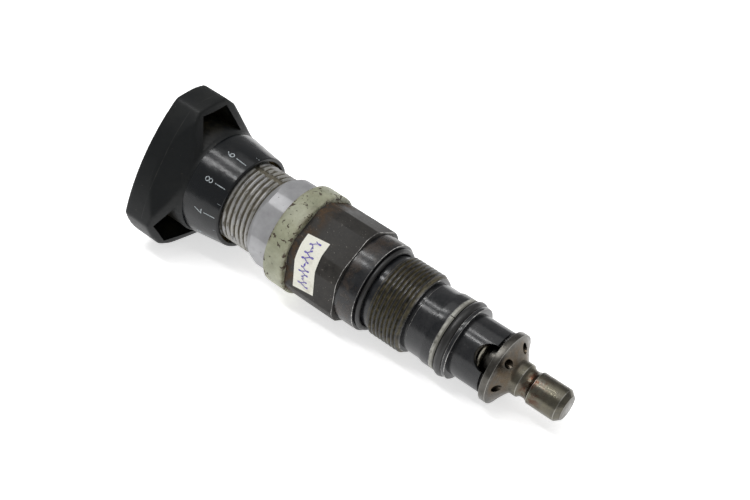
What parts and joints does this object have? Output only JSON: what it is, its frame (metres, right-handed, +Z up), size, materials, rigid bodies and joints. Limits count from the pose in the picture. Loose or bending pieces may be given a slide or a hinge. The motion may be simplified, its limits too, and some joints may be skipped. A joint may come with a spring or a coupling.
{
  "type": "cartridge valve",
  "caption": "Screw-in hydraulic cartridge valve: knob with a numbered dial, hexagon body, threaded middle, sealed nose sleeve and sprung poppet with a damping spool.",
  "frame": {"origin": "on the valve's axis, in the plane of the shoulder face that seats on the manifold", "axes": "+X along the axis towards the nose, -X towards the knob; +Z up, with one knob lobe 4.5 degrees from it; +Y completes the right-handed frame"},
  "size_m": [0.1572, 0.0548, 0.0518],
  "materials": {
    "dark_steel": "blackened, satin, rust spots",
    "bush_metal": "satin, dirty thread roots",
    "ring_paint": "gloss sage-green paint, chipped",
    "seal_rubber": "satin",
    "seal_white": "dirty off-white",
    "paper": "matte paper",
    "bright_steel": "turned, oil-stained",
    "spring_steel": "drawn wire",
    "knob_plastic": "satin black",
    "dial_plastic": "glossy black, white dial marks",
    "insert_brass": "plain",
    "zinc_steel": "plated"
  },
  "bodies": {
    "valve": {"valve_body": "dark_steel", "guide_bush": "bush_metal", "lock_ring": "ring_paint", "bush_seal": "seal_rubber", "shoulder_o_ring": "seal_rubber", "land_back_up_ring": "seal_white", "land_o_ring": "seal_rubber", "spindle_o_ring": "seal_rubber", "spindle_back_up_ring": "seal_white", "paper_label": "paper", "main_spring": "spring_steel"},
    "spring_plate_slide": {"spring_plate": "zinc_steel"},
    "knob": {"knob_head": "knob_plastic", "dial_sleeve": "dial_plastic", "thread_insert": "insert_brass", "spindle": "zinc_steel", "knob_screw": "zinc_steel", "knob_washer": "zinc_steel", "knob_cap": "knob_plastic"},
    "poppet_slide": {"poppet": "bright_steel"}
  },
  "joints": [
    {"name": "plate_travel", "type": "slide", "parent": "valve", "child": "spring_plate_slide", "axis": [1, 0, 0], "range_m": [-0.001, 0.009], "deforming": ["main_spring"]},
    {"name": "knob_turn", "type": "hinge", "parent": "spring_plate_slide", "child": "knob", "pos_m": [0, 0, 0], "axis": [1, 0, 0], "range_deg": [-181, 1621]},
    {"name": "poppet_lift", "type": "slide", "parent": "valve", "child": "poppet_slide", "axis": [1, 0, 0], "range_m": [-0.0013, 0.002], "stiffness_N_per_m": 2000, "deforming": ["main_spring"]}
  ],
  "couplings": [
    {"joint": "knob_turn", "follows": "plate_travel", "rad_per_m": 3141.6}
  ]
}
